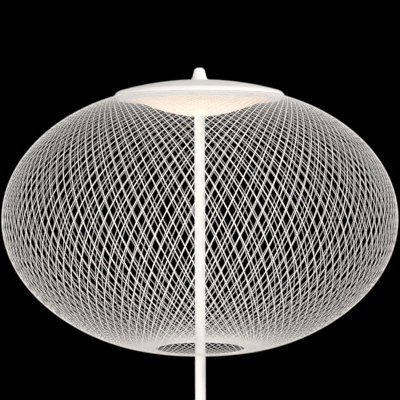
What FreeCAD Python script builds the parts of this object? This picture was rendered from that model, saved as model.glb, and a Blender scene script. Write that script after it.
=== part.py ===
import FreeCAD, Part
import math
import os
import Sketcher

# Floor lamp with a wound mesh shade. Millimetres, origin at the centre of the floor face, +Z up.
# The shade is a flattened ball of two crossing hands of resin-soaked strands, open at the top and the bottom.
# A slim pole stands in a weighted base, runs up through the shade and carries the lit head and its cap.

doc = FreeCAD.newDocument("mesh_floor_lamp")
dims = doc.addObject("Spreadsheet::Sheet", "dims")

sizes = {
    # Shade: the wound surface, its strands and the two hoops that end them.
    "shade_radius": 400,
    "shade_half_height": 278.3,
    "shade_top_rise": 274.6,
    "shade_centre": 1455,
    "top_ring_radius": 163,
    "mouth_radius": 93,
    "strand_width": 1.8,
    "strand_depth": 1.2,
    "bond_gap": 0.2,
    "hoop_radius": 1.6,
    "right_start_deg": -1.07,
    "left_start_deg": -0.22,
    # Winding: the strand's radius times the sine of its lean from upright, as a power series over the height.
    "wind_mid": 176.6,
    "wind_rise": 45.44,
    "wind_bow": 83.84,
    "wind_skew": 8.44,
    "wind_lift": 45.08,
    "lean_limit_deg": 77.2,
    # Base.
    "foot_height": 3,
    "foot_radius": 12,
    "foot_circle": 190,
    "weight_thickness": 14,
    "weight_chamfer": 10,
    "base_radius": 225,
    "cover_wall": 1.6,
    "cover_fit": 0.3,
    "cover_pole_gap": 0.5,
    "cover_room": 1,
    "cover_drop": 6,
    "cover_shoulder": 11,
    "cover_edge": 2,
    "channel_width": 9,
    "channel_depth": 9,
    "centre_hole_radius": 12,
    "gland_length": 26,
    "gland_bore_radius": 3,
    "gland_proud": 2,
    "flange_radius": 32,
    "flange_thickness": 6,
    "spigot_length": 50,
    "flange_screw_circle": 22,
    "collar_radius": 17,
    "collar_height": 12,
    # Pole and the lead inside it.
    "pole_radius": 10.5,
    "pole_wall": 1.5,
    "slip": 0.05,
    "joint_height": 760,
    "joiner_length": 90,
    "sleeve_bore_radius": 6,
    "lead_radius": 2.2,
    "base_bend": 20,
    "head_bend": 8,
    "lead_clear": 2,
    "lead_room": 7.5,
    # Screws: shank and head of the larger and the smaller kind.
    "bolt_radius": 2.5,
    "bolt_head_radius": 4.25,
    "bolt_head": 3.2,
    "bolt_sink": 2,
    "bolt_head_room": 1,
    "screw_radius": 2,
    "screw_head_radius": 3.5,
    "screw_head": 2,
    # Head: carrier plate, light, bowl and the ring that clamps bowl and shade.
    "seat_gap": 0.3,
    "ring_height": 4,
    "ring_wall": 2,
    "ring_lip": 6,
    "ring_fit": 0.2,
    "clamp_shift": 1,
    "bowl_flange": 2.5,
    "bowl_depth": 38.6,
    "bowl_wall": 2.5,
    "bowl_flange_width": 18,
    "bowl_pole_gap": 0.6,
    "plate_inset": 9,
    "plate_thickness": 3,
    "hub_radius": 17,
    "hub_length": 22,
    "hub_flange_radius": 40,
    "hub_flange": 4,
    "washer_radius": 22,
    "washer_thickness": 1.5,
    "nut_across": 32,
    "nut_height": 6,
    "pole_end": 1,
    "board_hole_radius": 46,
    "board_margin": 46,
    "board_thickness": 1.6,
    "chip_side": 3.5,
    "chip_height": 1.2,
    "chip_inset": 12,
    "driver_length": 92,
    "driver_width": 42,
    "driver_height": 17,
    "driver_start": 42,
    "driver_ear": 9,
    "driver_ear_height": 2,
    # Cap and the pillars that hold it.
    "cap_overlap": 11,
    "cap_wall": 2,
    "cap_gap": 0.3,
    "cap_shoulder": 11,
    "cap_shoulder_height": 10,
    "cap_shoulder_radius": 16,
    "pillar_radius": 4.5,
    "pillar_margin": 34,
    "pillar_thread": 9,
    "thread_relief": 1,
    # Dimmer and its knob.
    "dimmer_radius": 14,
    "dimmer_height": 13,
    "bush_radius": 5,
    "sleeve_radius": 4,
    "shaft_radius": 3,
    "push_room": 2,
    "push_floor": 2,
    "dimmer_nut_across": 13,
    "dimmer_nut_height": 2.4,
    "bush_proud": 4,
    "sleeve_proud": 6,
    "sleeve_length": 17,
    "knob_radius": 19.4,
    "knob_waist": 13,
    "knob_neck": 11.2,
    "knob_crown": 5.5,
    "knob_height": 25.8,
    "knob_lip": 0.8,
    "knob_flare": 11.5,
    "knob_shoulder": 18.6,
    "knob_sink": 0.3,
    "knob_gap": 0.6,
    "knob_socket": 11,
    "shaft_end_gap": 1,
    "knob_cavity_radius": 9.5,
    "grub_radius": 1.5,
    "grub_level": 10,
}
for row, (alias, size) in enumerate(sizes.items(), 1):
    dims.set("A%d" % row, alias)
    dims.set("B%d" % row, str(size))
    dims.setAlias("B%d" % row, alias)
doc.recompute()

# Levels above the floor, and the radii that several pieces share.
weight_radius = "(dims.base_radius - dims.cover_wall - dims.cover_fit)"
weight_top = "(dims.foot_height + dims.weight_thickness)"
flange_top = "(%s + dims.flange_thickness)" % weight_top
cover_top = "(%s + dims.cover_room + dims.cover_wall)" % flange_top
lead_low = "(dims.foot_height + dims.channel_depth / 2)"
gland_radius = "(dims.channel_width / 2 - 2 * dims.slip)"
pole_bore = "(dims.pole_radius - dims.pole_wall)"
pole_hole = "(dims.pole_radius + dims.slip)"

wound = "dims.shade_centre + dims.shade_top_rise * sqrt(1 - (%s / dims.shade_radius)^2)"
top_edge = "(%s)" % (wound % "dims.top_ring_radius")
layers = "(2 * dims.strand_depth + 2 * dims.bond_gap + dims.hoop_radius)"
top_slope = "(dims.top_ring_radius / dims.shade_radius^2)"
top_rise = "((%s - dims.shade_centre) / dims.shade_top_rise^2)" % top_edge
top_norm = "sqrt(%s^2 + %s^2)" % (top_slope, top_rise)
top_hoop_circle = "(dims.top_ring_radius - %s * %s / %s)" % (layers, top_slope, top_norm)
top_hoop_level = "(%s - %s * %s / %s)" % (top_edge, layers, top_rise, top_norm)
mouth_drop = "(dims.shade_half_height * sqrt(1 - (dims.mouth_radius / dims.shade_radius)^2))"
mouth_slope = "(dims.mouth_radius / dims.shade_radius^2)"
mouth_rise = "(%s / dims.shade_half_height^2)" % mouth_drop
mouth_norm = "sqrt(%s^2 + %s^2)" % (mouth_slope, mouth_rise)
mouth_hoop_circle = "(dims.mouth_radius - %s * %s / %s)" % (layers, mouth_slope, mouth_norm)
mouth_hoop_level = "(dims.shade_centre - %s + %s * %s / %s)" % (mouth_drop, layers, mouth_rise, mouth_norm)

ring_low = "(%s - dims.hoop_radius - dims.seat_gap - dims.ring_height)" % top_hoop_level
bowl_low = "(%s + dims.ring_wall)" % ring_low
plate_low = "(%s + dims.bowl_flange)" % bowl_low
plate_top = "(%s + dims.plate_thickness)" % plate_low
pole_top = "(%s + dims.washer_thickness + dims.nut_height + dims.pole_end)" % plate_top
lead_high = "(%s + dims.lead_radius + dims.lead_clear)" % pole_top
plate_radius = "(dims.top_ring_radius - dims.plate_inset)"
bowl_radius = "(%s - dims.slip)" % plate_radius
bowl_mouth = "(%s - dims.bowl_flange_width)" % bowl_radius
ring_radius = "(%s + dims.ring_lip)" % top_hoop_circle
clamp_circle = "(%s - dims.bowl_flange_width / 2 + dims.clamp_shift)" % bowl_radius
pillar_circle = "(%s - dims.pillar_margin)" % plate_radius
board_radius = "(%s - dims.board_margin)" % plate_radius

dimmer_low = "(%s + dims.lead_room)" % pole_top
dimmer_top = "(%s + dims.dimmer_height)" % dimmer_low
recess_floor = "(%s + dims.cap_wall)" % dimmer_top
cap_top = "(%s + dims.push_room)" % recess_floor
cap_radius = "(dims.top_ring_radius + dims.cap_overlap)"
cap_low = "(%s + dims.cap_gap)" % (wound % ("(%s - dims.cap_wall)" % cap_radius))
knob_low = "(%s - dims.knob_sink)" % cap_top
sleeve_top = "(%s + dims.sleeve_proud)" % recess_floor


def number(formula):
    """The present value of a formula of sheet sizes, in millimetres."""
    found = dims.evalExpression(formula)
    return float(getattr(found, "Value", found))


def bind(thing, **formulas):
    """Ties properties of a document object to formulas of sheet sizes."""
    for name, formula in formulas.items():
        thing.setExpression(name, formula)
    return thing


def place(thing, x="0", y="0", z="0"):
    """Ties the object's position to formulas of sheet sizes."""
    for axis, formula in (("x", x), ("y", y), ("z", z)):
        thing.setExpression("Placement.Base." + axis, formula)
    return thing


def cylinder(label, radius, height, level, x="0", y="0"):
    """An upright cylinder standing on a level."""
    thing = doc.addObject("Part::Cylinder", label)
    bind(thing, Radius=radius, Height=height)
    return place(thing, x, y, level)


def lying(label, radius, length, x, y, z, heading):
    """A cylinder that starts at a point and lies level; the heading is in degrees from +X."""
    thing = doc.addObject("Part::Cylinder", label)
    turn = FreeCAD.Rotation(FreeCAD.Vector(0, 0, 1), heading)
    thing.Placement.Rotation = turn.multiply(FreeCAD.Rotation(FreeCAD.Vector(0, 1, 0), 90))
    bind(thing, Radius=radius, Height=length)
    return place(thing, x, y, z)


def block(label, length, width, height, x, y, z):
    """A box with its low corner at a point."""
    thing = doc.addObject("Part::Box", label)
    bind(thing, Length=length, Width=width, Height=height)
    return place(thing, x, y, z)


def hexagon(label, across, height, level):
    """An upright hexagonal prism, sized across its flats."""
    thing = doc.addObject("Part::Prism", label)
    thing.Polygon = 6
    bind(thing, Circumradius="%s / sqrt(3)" % across, Height=height)
    return place(thing, z=level)


def cut(label, base, *tools):
    """The base with every tool taken away."""
    tool = tools[0]
    if len(tools) > 1:
        tool = doc.addObject("Part::MultiFuse", label + "_tools")
        tool.Shapes = list(tools)
    thing = doc.addObject("Part::Cut", label)
    thing.Base = base
    thing.Tool = tool
    return thing


def tube(label, bore, radius, height, level):
    """An upright tube or ring."""
    wall = cylinder(label + "_wall", radius, height, level)
    hole = cylinder(label + "_bore", bore, height, level)
    return cut(label, wall, hole)


def group(label, members):
    """Like pieces kept as separate solids under one name."""
    thing = doc.addObject("Part::Compound", label)
    thing.Links = members
    return thing


def around(circle, count, start):
    """Position formulas of a number of places on a circle about the pole, from a start angle in degrees."""
    for step in range(count):
        angle = start + 360.0 * step / count
        yield "%s * cos(%g deg)" % (circle, angle), "%s * sin(%g deg)" % (circle, angle)


def screws(label, kind, places, seat, shank, way=1):
    """Screws whose heads bear on the seat level and whose shanks run on from it, up (1) or down (-1)."""
    members = []
    for index, (x, y) in enumerate(places):
        name = "%s_%d" % (label, index + 1)
        head_low = "%s - dims.%s_head" % (seat, kind) if way > 0 else seat
        stem_low = seat if way > 0 else "%s - (%s)" % (seat, shank)
        screw = doc.addObject("Part::Fuse", name)
        screw.Base = cylinder(name + "_head", "dims.%s_head_radius" % kind, "dims.%s_head" % kind,
                              head_low, x, y)
        screw.Tool = cylinder(name + "_stem", "dims.%s_radius" % kind, shank, stem_low, x, y)
        members.append(screw)
    return group(label, members)


def holes(label, radius, height, level, places):
    """Upright cylinders that stand for screw holes."""
    return [cylinder("%s_%d" % (label, index + 1), radius, height, level, x, y)
            for index, (x, y) in enumerate(places)]


def turned(label, level, outline):
    """A body of revolution about the pole's axis, from its outline above a level.

    Each corner is (radius, height) in sheet formulas. A corner with a third and fourth value is reached by an
    arc of that radius, which turns left (+1) or right (-1) on its way there.
    """
    body = doc.addObject("PartDesign::Body", label)
    sketch = body.newObject("Sketcher::SketchObject", label + "_outline")
    plane = [item for item in body.Origin.OriginFeatures if item.Role == "XZ_Plane"][0]
    sketch.AttachmentSupport = [(plane, "")]
    sketch.MapMode = "FlatFace"
    points = [FreeCAD.Vector(number(corner[0]), number(corner[1]), 0) for corner in outline]
    edges = []
    for index, point in enumerate(points):
        following = outline[(index + 1) % len(outline)]
        target = points[(index + 1) % len(outline)]
        first, last = 1, 2
        curve = Part.LineSegment(point, target)
        if len(following) == 4:
            radius = number(following[2])
            chord = target - point
            side = FreeCAD.Vector(-chord.y, chord.x, 0).normalize() * following[3]
            centre = (point + target) / 2 + side * math.sqrt(radius ** 2 - chord.Length ** 2 / 4)
            begin = math.atan2(point.y - centre.y, point.x - centre.x)
            finish = math.atan2(target.y - centre.y, target.x - centre.x)
            if following[3] < 0:
                begin, finish, first, last = finish, begin, 2, 1
            curve = Part.ArcOfCircle(Part.Circle(centre, FreeCAD.Vector(0, 0, 1), radius), begin, finish)
        edges.append((sketch.addGeometry(curve, False), first, last))
    for index, corner in enumerate(outline):
        edge, first, last = edges[index]
        other, start, unused = edges[(index + 1) % len(outline)]
        sketch.addConstraint(Sketcher.Constraint("Coincident", edge, last, other, start))
        for kind, axis, formula, value in (("DistanceX", -2, corner[0], points[index].x),
                                           ("DistanceY", -1, corner[1], points[index].y)):
            if formula == "0":
                sketch.addConstraint(Sketcher.Constraint("PointOnObject", edge, first, axis))
            else:
                held = sketch.addConstraint(Sketcher.Constraint(kind, -1, 1, edge, first, value))
                sketch.setExpression("Constraints[%d]" % held, formula)
        if len(corner) == 4:
            arc = edges[index - 1][0]
            held = sketch.addConstraint(Sketcher.Constraint("Radius", arc, number(corner[2])))
            sketch.setExpression("Constraints[%d]" % held, corner[2])
    spin = body.newObject("PartDesign::Revolution", label + "_turn")
    spin.Profile = sketch
    spin.ReferenceAxis = (sketch, ["V_Axis"])
    spin.Angle = 360
    sketch.Visibility = False
    return place(body, z=level)


# Rubber feet: six discs under the weight that the lamp stands on.
feet = [cylinder("foot_%d" % (index + 1), "dims.foot_radius", "dims.foot_height", "0", x, y)
        for index, (x, y) in enumerate(around("dims.foot_circle", 6, 0))]
rubber_feet = group("rubber_feet", feet)

# Weight: a steel disc with a chamfered rim. A channel in its underside leads the cord from the rear to the
# centre, and three counterbored holes take the bolts of the pole's flange.
blank = turned("base_weight_blank", "dims.foot_height", [
    ("dims.centre_hole_radius", "0"),
    (weight_radius, "0"),
    (weight_radius, "dims.weight_thickness - dims.weight_chamfer"),
    ("%s - dims.weight_chamfer" % weight_radius, "dims.weight_thickness"),
    ("dims.centre_hole_radius", "dims.weight_thickness"),
])
channel = block("cord_channel", "dims.channel_width", "dims.base_radius", "dims.channel_depth",
                "-dims.channel_width / 2", "0", "dims.foot_height")
bolt_places = list(around("dims.flange_screw_circle", 3, 30))
counterbore = "(dims.bolt_head + dims.bolt_sink)"
base_weight = cut("base_weight", blank, channel,
                  *holes("weight_bolt_hole", "dims.bolt_radius + dims.slip", "dims.weight_thickness",
                         "dims.foot_height", bolt_places),
                  *holes("weight_counterbore", "dims.bolt_head_radius + dims.bolt_head_room", counterbore,
                         "dims.foot_height", bolt_places))

# Gland: the bush in the rear end of the channel that the mains cord comes in through.
gland_start = "dims.base_radius + dims.gland_proud - dims.gland_length"
gland_wall = lying("gland_wall", gland_radius, "dims.gland_length", "0", gland_start, lead_low, 90)
gland_bore = lying("gland_bore", "dims.gland_bore_radius", "dims.gland_length", "0", gland_start, lead_low,
                   90)
cord_gland = cut("cord_gland", gland_wall, gland_bore)

# Cover: a spun shell with a low crown and a rounded shoulder, whose skirt fits round the weight.
cover_hole = "(dims.pole_radius + dims.cover_pole_gap)"
cover_rise = "(%s - dims.cover_edge)" % cover_top
cover_span = "(dims.base_radius - dims.cover_shoulder)"
cover_dome = "(((%s - %s)^2 + dims.cover_drop^2) / (2 * dims.cover_drop))" % (cover_span, cover_hole)
cover_shell = turned("base_cover_shell", "dims.cover_edge", [
    ("dims.base_radius", "0"),
    ("dims.base_radius", "%s - dims.cover_drop - dims.cover_shoulder" % cover_rise),
    (cover_span, "%s - dims.cover_drop" % cover_rise, "dims.cover_shoulder", 1),
    (cover_hole, cover_rise, cover_dome, 1),
    (cover_hole, "%s - dims.cover_wall" % cover_rise),
    (cover_span, "%s - dims.cover_drop - dims.cover_wall" % cover_rise, cover_dome, -1),
    ("dims.base_radius - dims.cover_wall", "%s - dims.cover_drop - dims.cover_shoulder" % cover_rise,
     "dims.cover_shoulder - dims.cover_wall", -1),
    ("dims.base_radius - dims.cover_wall", "0"),
])
notch = block("gland_notch", "dims.channel_width", "2 * dims.cover_shoulder",
              "%s + %s" % (lead_low, gland_radius), "-dims.channel_width / 2",
              "dims.base_radius - dims.cover_shoulder", "2 * dims.slip")
base_cover = cut("base_cover", cover_shell, notch)

# Flange: bolted to the weight, with a spigot that the pole slides over and a bore for the lead.
flange_blank = turned("pole_flange_blank", weight_top, [
    ("dims.sleeve_bore_radius", "0"),
    ("dims.flange_radius", "0"),
    ("dims.flange_radius", "dims.flange_thickness"),
    ("%s - dims.slip" % pole_bore, "dims.flange_thickness"),
    ("%s - dims.slip" % pole_bore, "dims.flange_thickness + dims.spigot_length"),
    ("dims.sleeve_bore_radius", "dims.flange_thickness + dims.spigot_length"),
])
pole_flange = cut("pole_flange", flange_blank,
                  *holes("flange_bolt_hole", "dims.bolt_radius + dims.slip", "dims.flange_thickness",
                         weight_top, bolt_places))
flange_bolts = screws("flange_bolts", "bolt", bolt_places, "dims.foot_height + %s" % counterbore,
                      "%s - %s - dims.foot_height" % (flange_top, counterbore))

# Collar: the trim ring at the pole's foot, with a rounded upper edge.
pole_collar = turned("pole_collar", cover_top, [
    (pole_hole, "0"),
    ("dims.collar_radius", "0"),
    ("dims.collar_radius", "dims.collar_height / 2"),
    ("dims.collar_radius - dims.collar_height / 2", "dims.collar_height", "dims.collar_height / 2", 1),
    (pole_hole, "dims.collar_height"),
])

# Pole: two lengths of tube that meet over an inner joiner.
lower_pole = tube("lower_pole", pole_bore, "dims.pole_radius", "dims.joint_height - %s" % flange_top,
                  flange_top)
upper_pole = tube("upper_pole", pole_bore, "dims.pole_radius", "%s - dims.joint_height" % pole_top,
                  "dims.joint_height")
pole_joiner = tube("pole_joiner", "dims.sleeve_bore_radius", "%s - dims.slip" % pole_bore,
                   "dims.joiner_length", "dims.joint_height - dims.joiner_length / 2")

# Hub: a flanged collar on the pole that the carrier plate rests on, locked by two grub screws.
hub_blank = turned("head_hub_blank", "%s - dims.hub_flange - dims.hub_length" % plate_low, [
    (pole_hole, "0"),
    ("dims.hub_radius", "0"),
    ("dims.hub_radius", "dims.hub_length"),
    ("dims.hub_flange_radius", "dims.hub_length"),
    ("dims.hub_flange_radius", "dims.hub_length + dims.hub_flange"),
    (pole_hole, "dims.hub_length + dims.hub_flange"),
])
hub_middle = "%s - dims.hub_flange - dims.hub_length / 2" % plate_low
hub_grubs = []
hub_holes = []
for heading in (0, 180):
    sign = "" if heading == 0 else "-"
    hub_grubs.append(lying("hub_grub_%d" % heading, "dims.screw_radius", "dims.hub_radius - %s" % pole_hole,
                           "%s%s" % (sign, pole_hole), "0", hub_middle, heading))
    hub_holes.append(lying("hub_hole_%d" % heading, "dims.screw_radius + dims.slip", "dims.hub_radius",
                           "0", "0", hub_middle, heading))
head_hub = cut("head_hub", hub_blank, *hub_holes)
hub_grub_screws = group("hub_grub_screws", hub_grubs)

# Carrier plate: the aluminium disc that holds the head together and spreads the heat of the light.
clamp_places = list(around(clamp_circle, 6, 0))
pillar_places = list(around(pillar_circle, 3, 90))
ear_middle = "(dims.driver_length / 2 + dims.driver_ear / 2)"
driver_middle = "(dims.driver_start + dims.driver_width / 2)"
ear_places = [(ear_middle, driver_middle), ("-" + ear_middle, driver_middle)]
plate_disc = cylinder("carrier_plate_disc", plate_radius, "dims.plate_thickness", plate_low)
screw_hole = "dims.screw_radius + dims.slip"
carrier_plate = cut("carrier_plate", plate_disc,
                    cylinder("plate_pole_hole", pole_hole, "dims.plate_thickness", plate_low),
                    *holes("plate_clamp_hole", screw_hole, "dims.plate_thickness", plate_low, clamp_places),
                    *holes("plate_pillar_hole", screw_hole, "dims.plate_thickness", plate_low, pillar_places),
                    *holes("plate_ear_hole", screw_hole, "dims.plate_thickness", plate_low, ear_places))
head_washer = tube("head_washer", pole_hole, "dims.washer_radius", "dims.washer_thickness", plate_top)
nut_level = "%s + dims.washer_thickness" % plate_top
head_nut = cut("head_nut", hexagon("head_nut_blank", "dims.nut_across", "dims.nut_height", nut_level),
               cylinder("head_nut_bore", pole_hole, "dims.nut_height", nut_level))

# Light: a ring of board under the plate with two circles of small emitters, and the driver box above it.
board_low = "(%s - dims.board_thickness)" % plate_low
led_board = tube("led_board", "dims.board_hole_radius", board_radius, "dims.board_thickness", board_low)
chips = []
for circle, count in (("(dims.board_hole_radius + dims.chip_inset)", 12),
                      ("(%s - dims.chip_inset)" % board_radius, 24)):
    for x, y in around(circle, count, 0):
        chips.append(block("chip_%d" % (len(chips) + 1), "dims.chip_side", "dims.chip_side",
                           "dims.chip_height", x + " - dims.chip_side / 2", y + " - dims.chip_side / 2",
                           board_low + " - dims.chip_height"))
led_chips = group("led_chips", chips)
driver_box = block("driver_box", "dims.driver_length", "dims.driver_width", "dims.driver_height",
                   "-dims.driver_length / 2", "dims.driver_start", plate_top)
driver_foot = block("driver_foot", "dims.driver_length + 2 * dims.driver_ear", "dims.driver_width / 2",
                    "dims.driver_ear_height", "-dims.driver_length / 2 - dims.driver_ear",
                    "dims.driver_start + dims.driver_width / 4", plate_top)
driver_case = doc.addObject("Part::Fuse", "driver_case")
driver_case.Base = driver_box
driver_case.Tool = driver_foot
led_driver = cut("led_driver", driver_case,
                 *holes("driver_ear_hole", screw_hole, "dims.driver_ear_height", plate_top, ear_places))
driver_screws = screws("driver_screws", "screw", ear_places, "%s + dims.driver_ear_height" % plate_top,
                       "dims.plate_thickness + dims.driver_ear_height", -1)

# Lead: from the gland along the channel, up the pole and over its end to the driver.
floor_y = number(gland_start)
low, high = number(lead_low), number(lead_high)
turn_low, turn_high = number("dims.base_bend"), number("dims.head_bend")
half = math.sqrt(0.5)
route = [
    Part.LineSegment(FreeCAD.Vector(0, floor_y, low), FreeCAD.Vector(0, turn_low, low)),
    Part.Arc(FreeCAD.Vector(0, turn_low, low),
             FreeCAD.Vector(0, turn_low * (1 - half), low + turn_low * (1 - half)),
             FreeCAD.Vector(0, 0, low + turn_low)),
    Part.LineSegment(FreeCAD.Vector(0, 0, low + turn_low), FreeCAD.Vector(0, 0, high - turn_high)),
    Part.Arc(FreeCAD.Vector(0, 0, high - turn_high),
             FreeCAD.Vector(0, turn_high * (1 - half), high - turn_high * (1 - half)),
             FreeCAD.Vector(0, turn_high, high)),
    Part.LineSegment(FreeCAD.Vector(0, turn_high, high),
                     FreeCAD.Vector(0, number("dims.driver_start"), high)),
]
path = Part.Wire([piece.toShape() for piece in route])
ring = Part.Circle(FreeCAD.Vector(0, floor_y, low), FreeCAD.Vector(0, 1, 0), number("dims.lead_radius"))
pole_lead = doc.addObject("Part::Feature", "pole_lead")
pole_lead.Shape = path.makePipeShell([Part.Wire([ring.toShape()])], True, False)

# Bowl: the opal diffuser, a shallow dish bulging downwards, with a flange that the ring clamps to the plate.
bowl_sag = "(dims.bowl_depth - dims.bowl_flange)"
bowl_sphere = "((%s^2 + %s^2) / (2 * %s))" % (bowl_mouth, bowl_sag, bowl_sag)
bowl_hole = "(dims.pole_radius + dims.bowl_pole_gap)"
hole_rise = "(%s - sqrt(%s^2 - %s^2))" % (bowl_sphere, bowl_sphere, bowl_hole)
bowl_inner = "(%s - dims.bowl_wall)" % bowl_sphere
inner_rise = "(%s - sqrt(%s^2 - %s^2))" % (bowl_sphere, bowl_inner, bowl_hole)
inner_mouth = "sqrt(%s^2 - (%s - dims.bowl_depth)^2)" % (bowl_inner, bowl_sphere)
bowl_blank = turned("diffuser_bowl_blank", "%s - dims.bowl_depth" % plate_low, [
    (bowl_hole, hole_rise),
    (bowl_mouth, bowl_sag, bowl_sphere, 1),
    (bowl_radius, bowl_sag),
    (bowl_radius, "dims.bowl_depth"),
    (inner_mouth, "dims.bowl_depth"),
    (bowl_hole, inner_rise, bowl_inner, -1),
])
diffuser_bowl = cut("diffuser_bowl", bowl_blank,
                    *holes("bowl_clamp_hole", screw_hole, "dims.bowl_flange", bowl_low, clamp_places))

# Clamp ring: holds the bowl's flange up to the plate and, on its raised outer lip, the top hoop of the shade.
ring_blank = turned("clamp_ring_blank", ring_low, [
    (bowl_mouth, "0"),
    (ring_radius, "0"),
    (ring_radius, "dims.ring_height"),
    ("%s + dims.ring_fit" % plate_radius, "dims.ring_height"),
    ("%s + dims.ring_fit" % plate_radius, "dims.ring_wall"),
    (bowl_mouth, "dims.ring_wall"),
])
clamp_ring = cut("clamp_ring", ring_blank,
                 *holes("ring_clamp_hole", screw_hole, "dims.ring_wall", ring_low, clamp_places))
clamp_screws = screws("clamp_screws", "screw", clamp_places, ring_low,
                      "dims.ring_wall + dims.bowl_flange + dims.plate_thickness")

# Cap: a spun dome with a rounded shoulder that stands over the top of the shade. The knob sits in a shallow
# dish at its middle.
dish_radius = "(dims.knob_radius + dims.knob_gap)"
dome_span = "(%s - dims.cap_shoulder)" % cap_radius
dome_level = "dims.cap_shoulder_height"
cap_rise = "(%s - %s)" % (cap_top, cap_low)
dome_drop = "(%s - %s)" % (cap_rise, dome_level)
dome_radius = "((%s^2 + %s^2) / (2 * %s))" % (dome_span, dome_drop, dome_drop)
dish_edge = "(%s - (%s - sqrt(%s^2 - %s^2)))" % (cap_rise, dome_radius, dome_radius, dish_radius)
dish_floor = "(%s - dims.push_room)" % cap_rise
bush_hole = "(dims.bush_radius + 2 * dims.slip)"
cap_dome = turned("cap_dome", cap_low, [
    (bush_hole, "%s - dims.cap_wall" % dish_floor),
    ("%s + dims.cap_wall" % dish_radius, "%s - dims.cap_wall" % dish_floor),
    ("%s + dims.cap_wall" % dish_radius, "%s - dims.cap_wall" % dish_edge),
    (dome_span, "%s - dims.cap_wall" % dome_level, dome_radius, -1),
    ("%s - dims.cap_wall" % cap_radius, "0", "dims.cap_shoulder_radius - dims.cap_wall", -1),
    (cap_radius, "0"),
    (dome_span, dome_level, "dims.cap_shoulder_radius", 1),
    (dish_radius, dish_edge, dome_radius, 1),
    (dish_radius, dish_floor),
    (bush_hole, dish_floor),
])

# Pillars: three threaded posts that stand on the plate and meet the underside of the cap.
post_height = "%s - %s" % (cap_top, plate_top)
posts = [cylinder("pillar_post_%d" % (index + 1), "dims.pillar_radius", post_height, plate_top, x, y)
         for index, (x, y) in enumerate(pillar_places)]
cavity = turned("cap_cavity", cap_low, [
    ("0", "-dims.cap_shoulder_height"),
    (dome_span, "-dims.cap_shoulder_height"),
    (dome_span, "%s - dims.cap_wall" % dome_level),
    ("0", "%s - dims.cap_wall" % cap_rise, dome_radius, 1),
])
pillars = []
for index, post in enumerate(posts):
    trimmed = doc.addObject("Part::Common", "pillar_trimmed_%d" % (index + 1))
    trimmed.Base = post
    trimmed.Tool = cavity
    thread = cylinder("pillar_thread_%d" % (index + 1), screw_hole, "dims.pillar_thread + dims.thread_relief",
                      plate_top, *pillar_places[index])
    pillars.append(cut("pillar_%d" % (index + 1), trimmed, thread))
cap_pillars = group("cap_pillars", pillars)
cap_screws = screws("cap_screws", "screw", pillar_places, plate_low,
                    "dims.plate_thickness + dims.pillar_thread")

# Dimmer: the module hangs under the cap by its bush, which passes through the cap and is held by a nut.
guide = "(dims.sleeve_radius + dims.slip)"
dimmer_body = turned("dimmer_body", dimmer_low, [
    ("0", "0"),
    ("dims.dimmer_radius", "0"),
    ("dims.dimmer_radius", "dims.dimmer_height"),
    (guide, "dims.dimmer_height"),
    (guide, "dims.push_floor"),
    ("0", "dims.push_floor"),
])
dimmer_bush = tube("dimmer_bush", guide, "dims.bush_radius", "dims.cap_wall + dims.bush_proud", dimmer_top)
dimmer_nut = cut("dimmer_nut", hexagon("dimmer_nut_blank", "dims.dimmer_nut_across", "dims.dimmer_nut_height",
                                       recess_floor),
                 cylinder("dimmer_nut_bore", "dims.bush_radius + dims.slip", "dims.dimmer_nut_height",
                          recess_floor))
# The keyed sleeve slides in the bush when the knob is pushed, and the shaft turns inside the sleeve.
shaft_fit = "(dims.shaft_radius + dims.slip)"
dimmer_sleeve = tube("dimmer_sleeve", shaft_fit, "dims.sleeve_radius", "dims.sleeve_length",
                     "%s - dims.sleeve_length" % sleeve_top)
knob_cavity = "(%s + dims.slip - %s)" % (sleeve_top, knob_low)
shaft_length = "dims.sleeve_length + dims.slip + dims.knob_socket - dims.shaft_end_gap"
dimmer_shaft = cylinder("dimmer_shaft", "dims.shaft_radius", shaft_length,
                        "%s - dims.sleeve_length" % sleeve_top)

# Knob: a small bell with a flared lip, a rounded crown and a socket for the shaft.
crown_radius = "(dims.knob_neck + dims.knob_height - dims.knob_shoulder) / 2"
knob_blank = turned("dimmer_knob_blank", knob_low, [
    ("dims.knob_cavity_radius", "0"),
    ("dims.knob_radius", "0"),
    ("dims.knob_radius", "dims.knob_lip"),
    ("dims.knob_waist", "dims.knob_flare", "(dims.knob_radius + dims.knob_flare) / 2", -1),
    ("dims.knob_neck", "dims.knob_shoulder"),
    ("dims.knob_crown", "dims.knob_height", crown_radius, 1),
    ("0", "dims.knob_height"),
    ("0", "%s + dims.knob_socket" % knob_cavity),
    (shaft_fit, "%s + dims.knob_socket" % knob_cavity),
    (shaft_fit, knob_cavity),
    ("dims.knob_cavity_radius", knob_cavity),
])
grub_height = "%s + dims.grub_level" % knob_low
grub_hole = lying("knob_grub_hole", "dims.grub_radius + dims.slip", "dims.knob_radius", "0", "0",
                  grub_height, 90)
dimmer_knob = cut("dimmer_knob", knob_blank, grub_hole)
knob_grub_screw = lying("knob_grub_screw", "dims.grub_radius", "dims.knob_neck - dims.shaft_radius", "0",
                        "dims.shaft_radius", grub_height, 90)


def hoop(label, circle, level):
    """A round wire ring about the pole's axis."""
    thing = doc.addObject("Part::Torus", label)
    bind(thing, Radius1=circle, Radius2="dims.hoop_radius")
    return place(thing, z=level)


# Hoops: the wire rings that the strands are bonded to at the top and round the open mouth.
shade_top_hoop = hoop("shade_top_hoop", top_hoop_circle, top_hoop_level)
shade_mouth_hoop = hoop("shade_mouth_hoop", mouth_hoop_circle, mouth_hoop_level)


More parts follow.
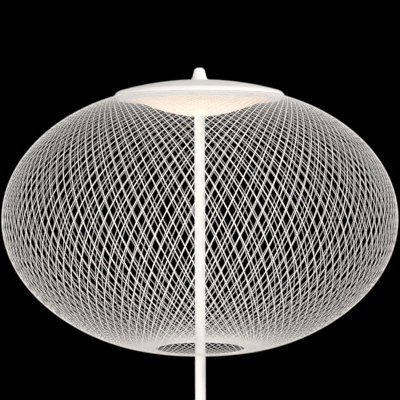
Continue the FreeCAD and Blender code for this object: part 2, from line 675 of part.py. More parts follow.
def winding():
    """The strand's turn about the pole, in radians from the equator, at even steps up from mouth to top.

    The height is a share of the half height below the equator and of the top rise above it. The sine of the
    lean from upright is the winding series over the radius, up to its limit near the hoops, where the strand
    runs almost along them.
    """
    radius = number("dims.shade_radius")
    squats = number("dims.shade_half_height") / radius, number("dims.shade_top_rise") / radius
    terms = [number("dims.wind_mid"), number("dims.wind_rise"), -number("dims.wind_bow"),
             -number("dims.wind_skew"), number("dims.wind_lift")]
    limit = math.sin(math.radians(number("dims.lean_limit_deg")))

    def rate(height):
        share = math.sqrt(1 - height * height)
        wind = sum(term * height ** power for power, term in enumerate(terms))
        sine = min(wind / (radius * share), limit)
        slant = math.sqrt(squats[height > 0] ** 2 + height * height / (1 - height * height))
        return sine / math.sqrt(1 - sine * sine) * slant / share

    low = -math.sqrt(1 - (number("dims.mouth_radius") / radius) ** 2)
    high = math.sqrt(1 - (number("dims.top_ring_radius") / radius) ** 2)
    steps = 2000
    heights = [low + (high - low) * step / steps for step in range(steps + 1)]
    turns = [0.0]
    for step in range(steps):
        middle = (heights[step] + heights[step + 1]) / 2
        turns.append(turns[-1] + rate(middle) * (heights[step + 1] - heights[step]))
    equator = turns[min(range(steps + 1), key=lambda step: abs(heights[step]))]
    return heights, [turn - equator for turn in turns]


def strand(hand, start, outer, stations):
    """One strand as a ruled loft of flat sections, at stations of (height share, turn)."""
    radius = number("dims.shade_radius")
    rises = number("dims.shade_half_height"), number("dims.shade_top_rise")
    wide, deep = number("dims.strand_width"), number("dims.strand_depth")
    middle = number("dims.shade_centre")

    def spot(height, turn):
        angle = hand * turn + start
        out = radius * math.sqrt(1 - height * height)
        return FreeCAD.Vector(out * math.sin(angle), -out * math.cos(angle), rises[height > 0] * height)

    sections = []
    for index, (height, turn) in enumerate(stations):
        here = spot(height, turn)
        before = spot(*stations[max(index - 1, 0)])
        after = spot(*stations[min(index + 1, len(stations) - 1)])
        normal = FreeCAD.Vector(here.x / radius ** 2, here.y / radius ** 2,
                                here.z / rises[height > 0] ** 2).normalize()
        across = normal.cross(after - before).normalize() * (wide / 2)
        face = here - normal * outer + FreeCAD.Vector(0, 0, middle)
        back = face - normal * deep
        ring = [face - across, face + across, back + across, back - across, face - across]
        sections.append(Part.makePolygon(ring))
    return Part.makeLoft(sections, True, True)


# Strands: the two hands cross at every station, the right hand outside and the left hand bonded under it.
# The shade has 120 strands a hand; the solids carry every fifth one, so that the part stays light.
per_hand = 24
heights, turns = winding()
right_start = math.radians(number("dims.right_start_deg"))
left_start = math.radians(number("dims.left_start_deg"))
pitch = math.pi / per_hand
first_crossing = (left_start - right_start) / 2
crossings = [first_crossing + pitch * step for step in range(-per_hand, per_hand + 1)]
crossings = [turn for turn in crossings if turns[0] + pitch / 3 < turn < turns[-1] - pitch / 3]
stations = [(heights[0], turns[0])]
for turn in crossings:
    above = next(step for step, reached in enumerate(turns) if reached >= turn)
    share = (turn - turns[above - 1]) / (turns[above] - turns[above - 1])
    stations.append((heights[above - 1] + share * (heights[above] - heights[above - 1]), turn))
stations.append((heights[-1], turns[-1]))
deep = number("dims.strand_depth + dims.bond_gap")
for label, hand, start, outer in (("shade_strands_right", 1, right_start, 0.0),
                                  ("shade_strands_left", -1, left_start, deep)):
    first = strand(hand, start, outer, stations)
    copies = []
    for index in range(per_hand):
        copy = first.copy()
        copy.rotate(FreeCAD.Vector(0, 0, 0), FreeCAD.Vector(0, 0, 1), 360.0 * index / per_hand)
        copies.append(copy)
    strands = doc.addObject("Part::Feature", label)
    strands.Shape = Part.makeCompound(copies)

doc.recompute()

nodes = [
    "rubber_feet", "base_weight", "cord_gland", "base_cover", "pole_flange", "flange_bolts", "pole_collar",
    "lower_pole", "upper_pole", "pole_joiner", "pole_lead", "head_hub", "hub_grub_screws", "carrier_plate",
    "head_washer", "head_nut", "led_board", "led_chips", "led_driver", "driver_screws", "diffuser_bowl",
    "clamp_ring", "clamp_screws", "cap_dome", "cap_pillars", "cap_screws", "dimmer_body", "dimmer_bush",
    "dimmer_nut", "dimmer_sleeve", "dimmer_shaft", "dimmer_knob", "knob_grub_screw", "shade_top_hoop",
    "shade_mouth_hoop", "shade_strands_right", "shade_strands_left",
]
for thing in doc.Objects:
    if "Invalid" in thing.State or "Error" in thing.State:
        raise RuntimeError("%s failed: %s" % (thing.Label, thing.State))
os.makedirs("parts", exist_ok=True)
for name in nodes:
    shape = doc.getObject(name).Shape
    if shape.isNull() or not shape.isValid() or not shape.Solids:
        raise RuntimeError("%s has no valid solid" % name)
for name in nodes:
    shape = doc.getObject(name).Shape
    shape.exportStep("parts/%s.step" % name)
    print(name, len(shape.Solids), "solids, %.1f mm3" % shape.Volume)
lead_length = path.Length
print("lead: section times length %.1f mm3" % (math.pi * number("dims.lead_radius") ** 2 * lead_length))
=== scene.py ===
import bpy
import numpy as np
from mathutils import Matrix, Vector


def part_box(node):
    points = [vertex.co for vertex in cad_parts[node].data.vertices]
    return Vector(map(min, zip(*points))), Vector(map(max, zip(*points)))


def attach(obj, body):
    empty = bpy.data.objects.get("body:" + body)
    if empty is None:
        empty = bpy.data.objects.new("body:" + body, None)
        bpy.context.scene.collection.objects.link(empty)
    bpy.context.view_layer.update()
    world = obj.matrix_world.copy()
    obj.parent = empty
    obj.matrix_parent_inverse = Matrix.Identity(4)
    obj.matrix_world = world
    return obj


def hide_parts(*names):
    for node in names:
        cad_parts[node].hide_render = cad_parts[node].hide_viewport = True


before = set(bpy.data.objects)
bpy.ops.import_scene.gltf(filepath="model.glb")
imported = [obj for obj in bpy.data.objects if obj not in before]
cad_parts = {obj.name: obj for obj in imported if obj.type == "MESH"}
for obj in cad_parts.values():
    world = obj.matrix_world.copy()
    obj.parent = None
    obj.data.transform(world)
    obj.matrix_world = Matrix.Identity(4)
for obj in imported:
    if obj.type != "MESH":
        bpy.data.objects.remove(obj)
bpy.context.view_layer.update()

# Feet and cord gland: six rubber discs bonded under the steel weight, and the sleeve in the cord's channel.
# Both are moulded in black rubber with a dull pebbled skin, which grips the floor and the cord.


def linear(code):
    """An sRGB hex colour as linear red, green, blue and alpha, by the standard's two-part curve."""
    channels = np.array([int(code[place:place + 2], 16) for place in (1, 3, 5)]) / 255
    curve = np.where(channels <= 0.04045, channels / 12.92, ((channels + 0.055) / 1.055) ** 2.4)
    return (*curve.tolist(), 1.0)


def add(tree, kind, **given):
    """Adds a shader node: a lower-case name sets a property, a capitalised one fills or links a socket.

    A node given for a socket is linked by its first output in use.
    """
    node = tree.nodes.new("ShaderNode" + kind)
    for name, value in given.items():
        if name.islower():
            setattr(node, name, value)
            continue
        sockets = {socket.identifier: socket for socket in node.inputs}
        socket = sockets.get(name) or sockets[name.replace("_", " ")]
        if isinstance(value, bpy.types.Node):
            value = next(output for output in value.outputs if output.enabled)
        if isinstance(value, bpy.types.NodeSocket):
            tree.links.new(value, socket)
        else:
            socket.default_value = value
    return node


def new_material(name):
    """An empty material, its node tree, and the place on the piece in metres."""
    material = bpy.data.materials.new(name)
    material.use_nodes = True
    tree = material.node_tree
    tree.nodes.clear()
    return material, tree, add(tree, "TexCoord").outputs["Object"]


def finish_nodes(material, *names):
    """Gives CAD nodes a finish in place of the plain colour they came with."""
    for name in names:
        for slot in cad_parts[name].material_slots:
            slot.material = material


# Moulded rubber: near black and dull, with pebbles 0.4 mm wide. Dust greys it in patches of about 10 mm.
moulded_rubber, tree, place = new_material("moulded_black_rubber")
pebble = add(tree, "TexNoise", Vector=place, Scale=2500.0, Detail=2.0)
dust = add(tree, "TexNoise", Vector=place, Scale=100.0, Detail=4.0)
tone = add(tree, "Mix", data_type="RGBA", Factor_Float=dust,
           A_Color=linear("#191919"), B_Color=linear("#2C2B29"))
skin = add(tree, "Bump", Strength=0.4, Distance=0.0001, Height=pebble)
rubber = add(tree, "BsdfPrincipled", Base_Color=tone, Roughness=0.8, IOR=1.52, Normal=skin)
add(tree, "OutputMaterial", Surface=rubber)
finish_nodes(moulded_rubber, "rubber_feet", "cord_gland")

# Weight, flange and joiner: a thick disc turned from steel plate, and the pole's flange and the joiner inside
# the two poles turned from bar. They are left as machined, under a thin film of oil.
# The tool leaves fine rings round the pole's axis, and the oil clouds the gloss in patches of about 40 mm.
machined_steel, tree, place = new_material("machined_mild_steel")
axes = add(tree, "SeparateXYZ", Vector=place)
flat = add(tree, "CombineXYZ", X=axes.outputs["X"], Y=axes.outputs["Y"])
radius = add(tree, "VectorMath", operation="LENGTH", Vector=flat)
rings = add(tree, "TexNoise", noise_dimensions="1D", W=radius, Scale=1800.0, Detail=3.0)
oil = add(tree, "TexNoise", Vector=place, Scale=25.0, Detail=5.0)
tone = add(tree, "Mix", data_type="RGBA", Factor_Float=oil,
           A_Color=linear("#7F8083"), B_Color=linear("#A3A4A6"))
gloss = add(tree, "MapRange", Value=oil, To_Min=0.3, To_Max=0.5)
lines = add(tree, "Bump", Strength=0.35, Distance=0.00005, Height=rings)
steel = add(tree, "BsdfPrincipled", Base_Color=tone, Metallic=1.0, Roughness=gloss, Normal=lines)
add(tree, "OutputMaterial", Surface=steel)
finish_nodes(machined_steel, "base_weight", "pole_flange", "pole_joiner")

# Bolts, screws, washer and nut: turned and rolled steel with a bright zinc plating, run in with a key.
# Zinc is slightly blue, and its spangle shifts the gloss over 2 to 3 mm.
zinc_plate, tree, place = new_material("bright_zinc_plate")
spangle = add(tree, "TexNoise", Vector=place, Scale=400.0, Detail=3.0)
tone = add(tree, "Mix", data_type="RGBA", Factor_Float=spangle, A_Color=linear("#A9AEB4"),
           B_Color=linear("#C9CCCF"))
gloss = add(tree, "MapRange", Value=spangle, To_Min=0.22, To_Max=0.38)
zinc = add(tree, "BsdfPrincipled", Base_Color=tone, Metallic=1.0, Roughness=gloss)
add(tree, "OutputMaterial", Surface=zinc)
finish_nodes(zinc_plate, "flange_bolts", "hub_grub_screws", "head_washer", "head_nut", "driver_screws",
             "cap_screws", "knob_grub_screw")

# Base cover, collar, poles, clamp screws and knob: a spun cover over the weight, a turned collar, two drawn
# steel tubes and the small pieces that show on the head, all in matt white powder coat.
# Baked powder leaves a faint orange peel, with waves of 2 mm, and its film varies in whiteness over 80 mm.
white_powder, tree, place = new_material("matt_white_powder_coat")
peel = add(tree, "TexNoise", Vector=place, Scale=500.0, Detail=2.0, Roughness=0.4)
film = add(tree, "TexNoise", Vector=place, Scale=12.0, Detail=4.0)
tone = add(tree, "Mix", data_type="RGBA", Factor_Float=film,
           A_Color=linear("#E7E5E3"), B_Color=linear("#EFEDEC"))
# The two poles meet 760 mm up, where a shadow line of 1 mm shows round the joint.
pole_joint, half_line = 0.760, 0.0005
axes = add(tree, "SeparateXYZ", Vector=place)
joint = add(tree, "Math", operation="COMPARE", Value=axes.outputs["Z"], Value_001=pole_joint,
            Value_002=half_line)
tone = add(tree, "Mix", data_type="RGBA", Factor_Float=joint, A_Color=tone, B_Color=linear("#8E8B88"))
gloss = add(tree, "MapRange", Value=film, To_Min=0.42, To_Max=0.52)
skin = add(tree, "Bump", Strength=0.15, Distance=0.0001, Height=peel)
powder = add(tree, "BsdfPrincipled", Base_Color=tone, Roughness=gloss, IOR=1.5, Normal=skin)
add(tree, "OutputMaterial", Surface=powder)
finish_nodes(white_powder, "base_cover", "pole_collar", "lower_pole", "upper_pole", "clamp_screws",
             "dimmer_knob")

# Lead, driver and emitter board: the sheathed lead inside the pole, the moulded case over the plate and the
# board under it, all white. Moulded plastic has an even spark-eroded grain of 0.6 mm and a low sheen.
white_plastic, tree, place = new_material("white_moulded_plastic")
spark = add(tree, "TexNoise", Vector=place, Scale=1600.0, Detail=2.0)
tone = add(tree, "Mix", data_type="RGBA", Factor_Float=spark,
           A_Color=linear("#E4E3E0"), B_Color=linear("#EDECE9"))
skin = add(tree, "Bump", Strength=0.25, Distance=0.00005, Height=spark)
plastic = add(tree, "BsdfPrincipled", Base_Color=tone, Roughness=0.45, IOR=1.46, Normal=skin)
add(tree, "OutputMaterial", Surface=plastic)
finish_nodes(white_plastic, "pole_lead", "led_driver", "led_board")

# Hub, carrier plate, pillars and shaft: the aluminium hub that grips the pole, the plate that it carries, the
# posts under the cap and the dimmer's shaft. All are turned bright, with rings of 0.4 mm round the axis.
turned_aluminium, tree, place = new_material("turned_aluminium")
axes = add(tree, "SeparateXYZ", Vector=place)
flat = add(tree, "CombineXYZ", X=axes.outputs["X"], Y=axes.outputs["Y"])
radius = add(tree, "VectorMath", operation="LENGTH", Vector=flat)
rings = add(tree, "TexNoise", noise_dimensions="1D", W=radius, Scale=2500.0, Detail=2.0)
tone = add(tree, "Mix", data_type="RGBA", Factor_Float=rings,
           A_Color=linear("#C4C6C8"), B_Color=linear("#DADBDC"))
lines = add(tree, "Bump", Strength=0.3, Distance=0.00003, Height=rings)
aluminium = add(tree, "BsdfPrincipled", Base_Color=tone, Metallic=1.0, Roughness=0.3, Normal=lines)
add(tree, "OutputMaterial", Surface=aluminium)
finish_nodes(turned_aluminium, "head_hub", "carrier_plate", "cap_pillars", "dimmer_shaft")

# Emitters: small squares of yellow phosphor soldered to the board in two rings, behind the bowl.
# Lit, they glow a warm white, mottled by a grain of 0.3 mm.
phosphor, tree, place = new_material("lit_yellow_phosphor")
grain = add(tree, "TexNoise", Vector=place, Scale=3000.0, Detail=2.0)
tone = add(tree, "Mix", data_type="RGBA", Factor_Float=grain,
           A_Color=linear("#E8CF62"), B_Color=linear("#F6E08A"))
emitter = add(tree, "BsdfPrincipled", Base_Color=tone, Roughness=0.4, Emission_Color=linear("#FFE2A8"),
              Emission_Strength=1.0)
add(tree, "OutputMaterial", Surface=emitter)
finish_nodes(phosphor, "led_chips")

# Bowl: opal acrylic, vacuum-formed to a shallow bowl with a flat rim and clamped under the carrier plate.
# The emitters light it from behind: cream at its low middle, peach towards the rim, where less light falls.


def tube_faces(rows, sides, closed=False):
    """Quads of a tube of rings: each joins two neighbours on a ring to the same two on the next ring."""
    row = np.arange(rows if closed else rows - 1)[:, None]
    side = np.arange(sides)
    here, ahead, after = row * sides, (row + 1) % rows * sides, (side + 1) % sides
    return np.stack([here + side, here + after, ahead + after, ahead + side], -1).reshape(-1, 4)


def new_piece(name, points, faces, material, body, slot, *replaced):
    """A smooth piece from points and quads, on a body, with its finish and the CAD nodes it stands for."""
    mesh = bpy.data.meshes.new(name)
    mesh.from_pydata(points.reshape(-1, 3), [], faces)
    mesh.materials.append(material)
    mesh.shade_smooth()
    piece = bpy.data.objects.new(name, mesh)
    bpy.context.scene.collection.objects.link(piece)
    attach(piece, body)
    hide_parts(*replaced)
    return piece


bowl_low, bowl_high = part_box("diffuser_bowl")
bowl_wall, flange_width, pole_hole = 0.0025, 0.018, 0.0111
bowl_sag, bowl_fullness, soft_edge = 0.0352, 1.77, 0.0004
bowl_steps, bowl_rows = 240, 48


def bowl_section():
    """Closed outline of the wall, as radius and height: a sheet of even thickness under the flange.

    Its underside is z = f - s (1 - (r / m)^p) from the pole's hole to the bowl's mouth m, with f the flange's
    underside, s the sag and p the fullness, and it goes on flat to the rim. Each edge has two close points.
    """
    mouth, rim, flange_low = bowl_high.x - flange_width, bowl_high.x, bowl_high.z - bowl_wall
    r = np.concatenate([[pole_hole], np.linspace(pole_hole + soft_edge, mouth, bowl_rows), [rim - soft_edge]])
    under = flange_low - bowl_sag * (1 - np.minimum(r / mouth, 1) ** bowl_fullness)
    over = np.minimum(under + bowl_wall * np.hypot(1, np.gradient(under, r)), bowl_high.z)
    edge = np.array([flange_low + soft_edge, bowl_high.z - soft_edge])
    hole_edge = np.array([over[0] - soft_edge, under[0] + soft_edge])
    return (np.concatenate([r, [rim, rim], r[::-1], [pole_hole, pole_hole]]),
            np.concatenate([under, edge, over[::-1], hole_edge]))


opal_acrylic, tree, place = new_material("lit_opal_acrylic")
axes = add(tree, "SeparateXYZ", Vector=place)
rise = add(tree, "MapRange", Value=axes.outputs["Z"], From_Min=bowl_low.z, From_Max=bowl_high.z)
haze = add(tree, "TexNoise", Vector=place, Scale=30.0, Detail=2.0)
haze = add(tree, "MapRange", Value=haze, To_Min=-0.04, To_Max=0.04)
rise = add(tree, "Math", operation="ADD", Value=rise, Value_001=haze)
glow = add(tree, "ValToRGB", Fac=rise)
glow.color_ramp.elements[0].color = linear("#FFF8E8")
glow.color_ramp.elements[1].color = linear("#E2BFA6")
glow.color_ramp.elements.new(0.45).color = linear("#FCE7D1")
acrylic = add(tree, "BsdfPrincipled", Base_Color=linear("#8C857C"), Roughness=0.35, IOR=1.49,
              Emission_Color=glow, Emission_Strength=0.8)
add(tree, "OutputMaterial", Surface=acrylic)
reach, height = bowl_section()
turn = 2 * np.pi * np.arange(bowl_steps)[:, None] / bowl_steps
points = np.stack(np.broadcast_arrays(reach * np.sin(turn), -reach * np.cos(turn), height), -1)
faces = tube_faces(bowl_steps, len(reach), closed=True)
new_piece("formed_opal_bowl", points, faces[:, ::-1], opal_acrylic, "stand", "opal_acrylic", "diffuser_bowl")

# Clamp ring: a pressed steel ring screwed up under the bowl's flange, with a matt white powder coat.
# A painted glow stands in for the lit bowl's light falling on it, strongest at the ring's inner edge and
# fading to its rim.
ring_rim, ring_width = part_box("clamp_ring")[1].x, 0.028
powder_with_painted_glow, tree, place = new_material("powder_coat_with_painted_bowl_glow")
axes = add(tree, "SeparateXYZ", Vector=place)
flat = add(tree, "CombineXYZ", X=axes.outputs["X"], Y=axes.outputs["Y"])
radius = add(tree, "VectorMath", operation="LENGTH", Vector=flat)
# Painted glow of the bowl's light: warm at the ring's inner edge, fading to none at its rim.
painted_glow_fade = add(tree, "MapRange", Value=radius, From_Min=ring_rim - ring_width, From_Max=ring_rim)
painted_glow = add(tree, "Mix", data_type="RGBA", Factor_Float=painted_glow_fade,
            A_Color=linear("#FFD5B8"), B_Color=linear("#000000"))
film = add(tree, "TexNoise", Vector=place, Scale=12.0, Detail=4.0)
tone = add(tree, "Mix", data_type="RGBA", Factor_Float=film,
           A_Color=linear("#E7E5E3"), B_Color=linear("#EFEDEC"))
powder = add(tree, "BsdfPrincipled", Base_Color=tone, Roughness=0.48, IOR=1.5, Emission_Color=painted_glow,
             Emission_Strength=0.25)
add(tree, "OutputMaterial", Surface=powder)
finish_nodes(powder_with_painted_glow, "clamp_ring")

# Hoops: the rings at the shade's top and mouth that the strands are bonded to, laid up from the same roving.
# Six rovings twist round each other and set in their resin, so the hoop looks like a fine rope.


def lay_along(piece, lengths, rounds):
    """Writes the UV map that the fibres follow: metres along the roving, and turns round it."""
    uv = np.stack(np.broadcast_arrays(lengths, rounds), -1)
    piece.data.uv_layers.new(name="along_roving").uv.foreach_set("vector", uv.ravel())


def write_painted_light(piece, painted_light_share):
    """Writes each point's painted light: 0 is the light grey of painted shade and 1 is the roving's full
    white.
    """
    piece.data.attributes.new("painted_light", "FLOAT", "POINT").data.foreach_set("value", painted_light_share.ravel())


# The roving: glass fibres 15 mm and longer show as fine streaks along it, under a satin white coat.
# They are drawn about six to a strand's width, because real fibres are too fine to show. The strands' inner
# sides are greyed as painted shade, and lifted towards white low down as painted light from the bowl.
glass_roving, tree, _ = new_material("resin_soaked_glass_roving")
strip = add(tree, "UVMap", uv_map="along_roving")
stretched = add(tree, "Mapping", Vector=strip, Scale=(70.0, 12.0, 1.0))
fibre = add(tree, "TexNoise", noise_dimensions="2D", Vector=stretched, Scale=1.0, Detail=3.0)
tone = add(tree, "Mix", data_type="RGBA", Factor_Float=fibre,
           A_Color=linear("#F3F1EF"), B_Color=linear("#FCFBFA"))
# Painted shade: the share written on the points mixes the full white towards a light grey.
painted_light_share = add(tree, "Attribute", attribute_name="painted_light").outputs["Fac"]
tone = add(tree, "Mix", data_type="RGBA", Factor_Float=painted_light_share, A_Color=linear("#B5B3B0"), B_Color=tone)
gloss = add(tree, "MapRange", Value=fibre, To_Min=0.38, To_Max=0.52)
skin = add(tree, "Bump", Strength=0.4, Distance=0.0001, Height=fibre)
roving = add(tree, "BsdfPrincipled", Base_Color=tone, Roughness=gloss, IOR=1.54, Normal=skin)
add(tree, "OutputMaterial", Surface=roving)

hoop_steps, hoop_sides = 720, 24
hoop_rovings, twist_pitch, swelling = 6, 0.024, 0.1
for place_name in ("mouth", "top"):
    # x = (c + p cos b) sin a, y = -(c + p cos b) cos a, z = h + p sin b, where the section's radius p swells
    # once for each roving and the swellings turn with a.
    low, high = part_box("shade_%s_hoop" % place_name)
    thick = (high.z - low.z) / 2
    circle = high.x - thick
    turn = 2 * np.pi * np.arange(hoop_steps)[:, None] / hoop_steps
    around = 2 * np.pi * np.arange(hoop_sides) / hoop_sides
    twists = round(2 * np.pi * circle / twist_pitch) * hoop_rovings
    section = thick * (1 - swelling + swelling * np.cos(hoop_rovings * around + twists * turn))
    reach = circle + section * np.cos(around)
    points = np.stack([reach * np.sin(turn), -reach * np.cos(turn),
                       (low.z + high.z) / 2 + section * np.sin(around)], -1)
    faces = tube_faces(hoop_steps, hoop_sides, closed=True)
    hoop = new_piece("roving_hoop_" + place_name, points, faces[:, ::-1], glass_roving, "stand",
                     "strand_resin", "shade_%s_hoop" % place_name)
    # The hoops keep the full white, with no painted shade.
    write_painted_light(hoop, np.ones(hoop_steps * hoop_sides))
    count = np.arange(len(faces))[:, None]
    lay_along(hoop, (count // hoop_sides + np.array([1, 1, 0, 0])) * 2 * np.pi * circle / hoop_steps,
              (count % hoop_sides + np.array([0, 1, 1, 0])) / hoop_sides)

# Shade: a resin-soaked glass roving wound over a mould in two crossing hands of 120 strands, then baked hard.
# A strand is a flat cord that runs almost along the hoops at both ends and steepens between them. The right
# hand lies outside, and the left hand is bonded under it.
shade_centre, shade_radius, half_height = 1.455, 0.400, 0.2783
mouth_radius, top_radius = 0.093, 0.163
strand_width, strand_depth, bond_gap = 0.00135, 0.0004, 0.0001
top_narrowing, mouth_spread, flat_sides, width_spread = 0.25, 3.4, 0.8, 0.04
drift, swing = 0.0006, 0.0005
flat_top, full_underside, turned_in_mouth = 0.0070, 0.0045, 0.0105
strands_per_hand, stations, strand_sides, fine_heights = 120, 80, 8, 8001
# The winding series, in millimetres, and the most that a strand leans were fitted to the photograph.
wind_series = np.array([176.6, 45.44, -83.84, -8.44, 45.08]) / 1000
lean_limit = np.sin(np.radians(77.2))


def shade_height(t):
    """Height over the shade's centre at a share t of the half height: an ellipsoid's C t, with a flatter top,
    a fuller underside and a mouth that turns in, by powers of t that only act near the ends."""
    top, below = np.clip(t, 0, 1), np.clip(-t, 0, 1)
    return half_height * t - flat_top * top ** 8 - full_underside * below ** 6 + turned_in_mouth * below ** 20


def winding():
    """Stations of one strand at even lengths: height share, turn about the pole and length so far.

    On the surface r = R sqrt(1 - t^2) the sine of the strand's lean from upright is w(t) / r, with w the
    winding series, up to its limit. Its turn grows by tan(lean) dm / r for each step dm up the surface.
    """
    t = np.linspace(-np.sqrt(1 - (mouth_radius / shade_radius) ** 2),
                    np.sqrt(1 - (top_radius / shade_radius) ** 2), fine_heights)
    r = shade_radius * np.sqrt(1 - t ** 2)
    sine = np.minimum(np.polyval(wind_series[::-1], t) / r, lean_limit)
    climb = np.hypot(np.gradient(shade_height(t), t), np.gradient(r, t))
    run = climb / np.sqrt(1 - sine ** 2)
    rate = run * sine / r
    step = np.diff(t)
    turn = np.concatenate([[0], np.cumsum((rate[1:] + rate[:-1]) / 2 * step)])
    length = np.concatenate([[0], np.cumsum((run[1:] + run[:-1]) / 2 * step)])
    turn -= np.interp(0, t, turn)
    even = np.linspace(0, length[-1], stations)
    return np.interp(even, length, t), np.interp(even, length, turn), even


def wound_strands(hand, start, inset, seed):
    """Points of one hand of strands: a flattened ring of eight points carried along each path.

    The ring's width lies across the path on the surface, and its depth along the surface's normal. Each
    strand wanders a little from its even place, by a fixed drift and a slow swing, and differs a little in
    width. All narrow towards the top by a square of t, and spread flat on the mouth hoop by a high power.
    """
    rng = np.random.default_rng(seed)
    shift, sway, waves, phase = rng.normal(0, 1, (4, strands_per_hand, 1))
    wander = drift * shift + swing * sway * np.sin((2 + waves) * np.pi * along / along[-1] + 3 * phase)
    place_round = 2 * np.pi * np.arange(strands_per_hand)[:, None] / strands_per_hand
    angle = hand * turn + start + place_round + wander
    r = shade_radius * np.sqrt(1 - t ** 2)
    path = np.stack(np.broadcast_arrays(r * np.sin(angle), -r * np.cos(angle), shade_height(t)), -1)
    lean_out, lean_up = np.gradient(shade_height(t), t), -np.gradient(r, t)
    normal = np.stack(np.broadcast_arrays(lean_out * np.sin(angle), -lean_out * np.cos(angle), lean_up), -1)
    normal /= np.linalg.norm(normal, axis=-1, keepdims=True)
    across = np.cross(normal, np.gradient(path, axis=1))
    across /= np.linalg.norm(across, axis=-1, keepdims=True)
    around = 2 * np.pi * np.arange(strand_sides)[:, None] / strand_sides
    wide = strand_width / 2 * rng.normal(1, width_spread, (strands_per_hand, 1, 1, 1))
    top, below = np.clip(t, 0, 1), np.clip(-t, 0, 1)
    wide = wide * (1 - top_narrowing * top ** 2 + mouth_spread * below ** 22)[:, None, None]
    return (path[:, :, None] + (0, 0, shade_centre)
            + across[:, :, None] * np.sign(np.cos(around)) * np.abs(np.cos(around)) ** flat_sides * wide
            + normal[:, :, None] * (np.sin(around) * strand_depth / 2 - inset - strand_depth / 2))


t, turn, along = winding()
walls = tube_faces(stations, strand_sides)
# Three quads close the ring of eight at each end of a strand.
low_end = np.array([[0, 3, 2, 1], [0, 7, 4, 3], [4, 7, 6, 5]])
high_end = low_end[:, ::-1] + (stations - 1) * strand_sides
first = np.arange(strands_per_hand)[:, None, None] * stations * strand_sides
faces = np.concatenate([(first + part).reshape(-1, 4) for part in (walls, low_end, high_end)])
corner = np.arange(len(faces))[:, None] % strand_sides + np.array([0, 1, 1, 0])
# Painted shade: a strand's outer side stays full white down to its edges, and its inner side is greyed, most
# high up; painted light from the bowl lifts it towards white low down and most near the mouth.
inner_painted_light, painted_light_fall, mouth_painted_light = 0.38, 0.42, 1.2
outside = 1 + 2 * np.sin(2 * np.pi * np.arange(strand_sides) / strand_sides)
inside = inner_painted_light - painted_light_fall * t + mouth_painted_light * np.clip(-t, 0, 1) ** 16
painted_light_share = np.clip(np.maximum(outside, inside[:, None]), 0, 1)
for side, hand, start, inset, seed in (("right", 1, -0.0187, 0.0, 5),
                                       ("left", -1, -0.0039, strand_depth + bond_gap, 8)):
    strands = new_piece("wound_strands_" + side, wound_strands(hand, start, inset, seed), faces, glass_roving,
                        "stand", "strand_resin", "shade_strands_" + side)
    write_painted_light(strands, np.broadcast_to(painted_light_share, (strands_per_hand, stations, strand_sides)))
    # Each strand has its own whole number of turns in the map, so no two show the same fibres.
    lay_along(strands, along[faces % (stations * strand_sides) // strand_sides],
              faces // (stations * strand_sides) + corner / strand_sides)

# Cap: a spun aluminium dome that covers the head, held by three screws from inside. It is lacquered satin
# white, smoother than powder, with a film that varies over 60 mm.
white_lacquer, tree, place = new_material("satin_white_lacquer")
film = add(tree, "TexNoise", Vector=place, Scale=16.0, Detail=3.0)
tone = add(tree, "Mix", data_type="RGBA", Factor_Float=film,
           A_Color=linear("#E0DEDB"), B_Color=linear("#E8E6E3"))
gloss = add(tree, "MapRange", Value=film, To_Min=0.52, To_Max=0.6)
lacquer = add(tree, "BsdfPrincipled", Base_Color=tone, Roughness=gloss, IOR=1.5)
add(tree, "OutputMaterial", Surface=lacquer)
finish_nodes(white_lacquer, "cap_dome")

# Dimmer: a black moulded module under the cap, held by a brass bush and nut, with the brass sleeve that
# travels when the knob is pressed. The plastic has a spark-eroded grain of 0.7 mm.
black_plastic, tree, place = new_material("black_moulded_plastic")
spark = add(tree, "TexNoise", Vector=place, Scale=1500.0, Detail=2.0)
gloss = add(tree, "MapRange", Value=spark, To_Min=0.4, To_Max=0.55)
skin = add(tree, "Bump", Strength=0.3, Distance=0.00005, Height=spark)
plastic = add(tree, "BsdfPrincipled", Base_Color=linear("#1D1D1E"), Roughness=gloss, Normal=skin)
add(tree, "OutputMaterial", Surface=plastic)
finish_nodes(black_plastic, "dimmer_body")
# Brass: the tool leaves rings of 0.25 mm up the turned length.
turned_brass, tree, place = new_material("turned_brass")
axes = add(tree, "SeparateXYZ", Vector=place)
rings = add(tree, "TexNoise", noise_dimensions="1D", W=axes.outputs["Z"], Scale=4000.0, Detail=2.0)
tone = add(tree, "Mix", data_type="RGBA", Factor_Float=rings,
           A_Color=linear("#B3954F"), B_Color=linear("#CDB06A"))
lines = add(tree, "Bump", Strength=0.3, Distance=0.00003, Height=rings)
brass = add(tree, "BsdfPrincipled", Base_Color=tone, Metallic=1.0, Roughness=0.28, Normal=lines)
add(tree, "OutputMaterial", Surface=brass)
finish_nodes(turned_brass, "dimmer_bush", "dimmer_nut", "dimmer_sleeve")

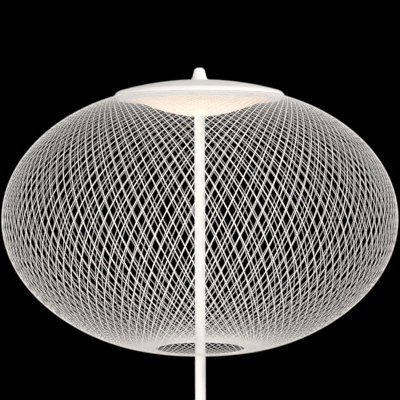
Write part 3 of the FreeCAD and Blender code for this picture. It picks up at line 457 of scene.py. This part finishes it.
# Stage: a plain pale floor, a low soft box in front on the left and a higher one on the right, two weak ones
# behind and one overhead, and a dark surround that still fills the shadows with a soft warm light.
floor_radius, floor_sides, box_size = 4.4, 96, 1.8
floor_mesh = bpy.data.meshes.new("floor")
edge = floor_radius * np.exp(2j * np.pi * np.arange(floor_sides) / floor_sides)
floor_mesh.from_pydata(np.stack([edge.real, edge.imag, 0 * edge.real], -1), [], [list(range(floor_sides))])
pale_floor, tree, _ = new_material("pale_matt_floor")
paint = add(tree, "BsdfPrincipled", Base_Color=linear("#B9B6B2"), Roughness=0.8)
add(tree, "OutputMaterial", Surface=paint)
floor_mesh.materials.append(pale_floor)
floor = bpy.data.objects.new("floor", floor_mesh)
bpy.context.scene.collection.objects.link(floor)

for name, spot, tilt, turned, power in (
        ("front_left", (-2.5, -2.4, 1.2), 95, -46, 77),
        ("front_right", (2.5, -2.4, 2.5), 73, 46, 80),
        ("rear_left", (-2.7, 2.3, 1.5), 90, -130, 20),
        ("rear_right", (2.7, 2.3, 1.5), 90, 130, 20),
        ("overhead", (0.6, 0, 3.6), 18, 90, 16)):
    light = bpy.data.lights.new(name, "AREA")
    light.size = box_size
    light.energy = power
    soft_box = bpy.data.objects.new(name, light)
    soft_box.location = spot
    soft_box.rotation_euler = np.radians((tilt, 0, turned))
    soft_box.visible_camera = False
    bpy.context.scene.collection.objects.link(soft_box)

world = bpy.data.worlds.new("studio")
world.use_nodes = True
tree = world.node_tree
tree.nodes.clear()
rays = add(tree, "LightPath")
seen = add(tree, "Math", operation="MAXIMUM", Value=rays.outputs["Is Camera Ray"],
           Value_001=rays.outputs["Is Glossy Ray"])
seen = add(tree, "Math", operation="MAXIMUM", Value=seen, Value_001=rays.outputs["Is Transmission Ray"])
fill = add(tree, "Background", Color=linear("#FFF8F3"), Strength=0.46)
dark = add(tree, "Background", Color=linear("#000000"), Strength=1.0)
surround = add(tree, "MixShader", Fac=seen, Shader=fill, Shader_001=dark)
add(tree, "OutputWorld", Surface=surround)
bpy.context.scene.world = world

# Camera: 2.33 m in front of the pole and 79 mm above the shade's centre. Its lens, shift and slight roll give
# the photograph's framing.
camera = bpy.data.cameras.new("camera")
camera.sensor_width = 36
camera.lens = 102.55
camera.shift_x = 0.0006
camera.shift_y = -0.0513
eye = bpy.data.objects.new("camera", camera)
eye.location = (0, -2.333, 1.5337)
eye.rotation_euler = (np.pi / 2, np.radians(0.19), 0)
bpy.context.scene.collection.objects.link(eye)
bpy.context.scene.camera = eye
bpy.context.scene.view_settings.view_transform = "Standard"
